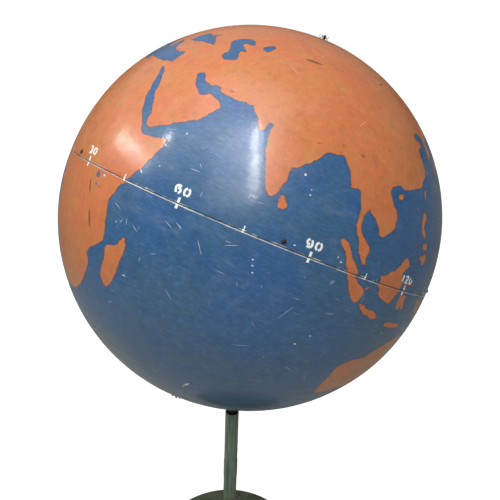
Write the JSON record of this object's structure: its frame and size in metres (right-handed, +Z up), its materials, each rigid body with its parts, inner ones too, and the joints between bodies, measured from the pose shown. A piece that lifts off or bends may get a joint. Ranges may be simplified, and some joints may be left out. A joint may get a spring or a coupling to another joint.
{
  "type": "terrestrial globe",
  "caption": "Large painted sheet-metal terrestrial globe on a tilted polar rod, turning on a spindle in a slim tubular post with a round floor base.",
  "frame": {"origin": "centre of the underside of the base pad, on the vertical turning axis of the post", "axes": "+Z up along the post; +X is the side towards which the polar rod leans at rest; -Y is the front"},
  "size_m": [0.7642, 0.762, 1.283],
  "materials": {
    "map_paint": "worn semi-gloss enamel, blue seas and orange-brown land",
    "post_paint": "worn grey-green semi-gloss paint",
    "base_paint": "worn olive-green paint",
    "socket_paint": "olive-green paint over cast iron",
    "cast_iron": "raw casting",
    "rubber_pad": "matte",
    "bronze": "turned, oiled",
    "galvanised_band": "dull galvanised strip",
    "dark_steel": "blackened, worn",
    "bright_steel": "zinc plated, dulled"
  },
  "bodies": {
    "stand": {"base_pad": "rubber_pad", "base_plate": "base_paint", "base_socket": "socket_paint", "lower_bush": "bronze", "plug_pin": "dark_steel", "post_sleeve": "post_paint", "post_tube": "post_paint", "socket_bolt_1": "bright_steel", "socket_bolt_2": "bright_steel", "socket_bolt_3": "bright_steel", "socket_bolt_4": "bright_steel", "socket_set_screw_1": "dark_steel", "socket_set_screw_2": "dark_steel", "thrust_ball": "bright_steel", "thrust_plug": "bright_steel", "upper_bush": "bronze"},
    "globe": {"equator_band": "galvanised_band", "hub_block": "cast_iron", "hub_rod_screw": "dark_steel", "hub_spindle_screw": "dark_steel", "north_hemisphere": "map_paint", "north_inner_cup": "bright_steel", "north_jam_nut": "bright_steel", "north_lock_nut": "bright_steel", "north_outer_cup": "bright_steel", "north_pole_nut": "bright_steel", "north_split_pin": "bright_steel", "plate_screw_1": "bright_steel", "plate_screw_2": "bright_steel", "plate_screw_3": "bright_steel", "polar_rod": "dark_steel", "seam_screw_1": "bright_steel", "seam_screw_2": "bright_steel", "seam_screw_3": "bright_steel", "seam_screw_4": "bright_steel", "seam_screw_5": "bright_steel", "seam_screw_6": "bright_steel", "south_hemisphere": "map_paint", "south_inner_cup": "bright_steel", "south_jam_nut": "bright_steel", "south_lock_nut": "bright_steel", "south_outer_cup": "bright_steel", "south_pole_nut": "bright_steel", "south_split_pin": "bright_steel", "spindle": "bright_steel", "spindle_plate": "bright_steel"}
  },
  "joints": [
    {"name": "globe_turn", "type": "hinge", "parent": "stand", "child": "globe", "pos_m": [0, 0, 0.4286], "axis": [0, 0, 1], "continuous": true}
  ]
}
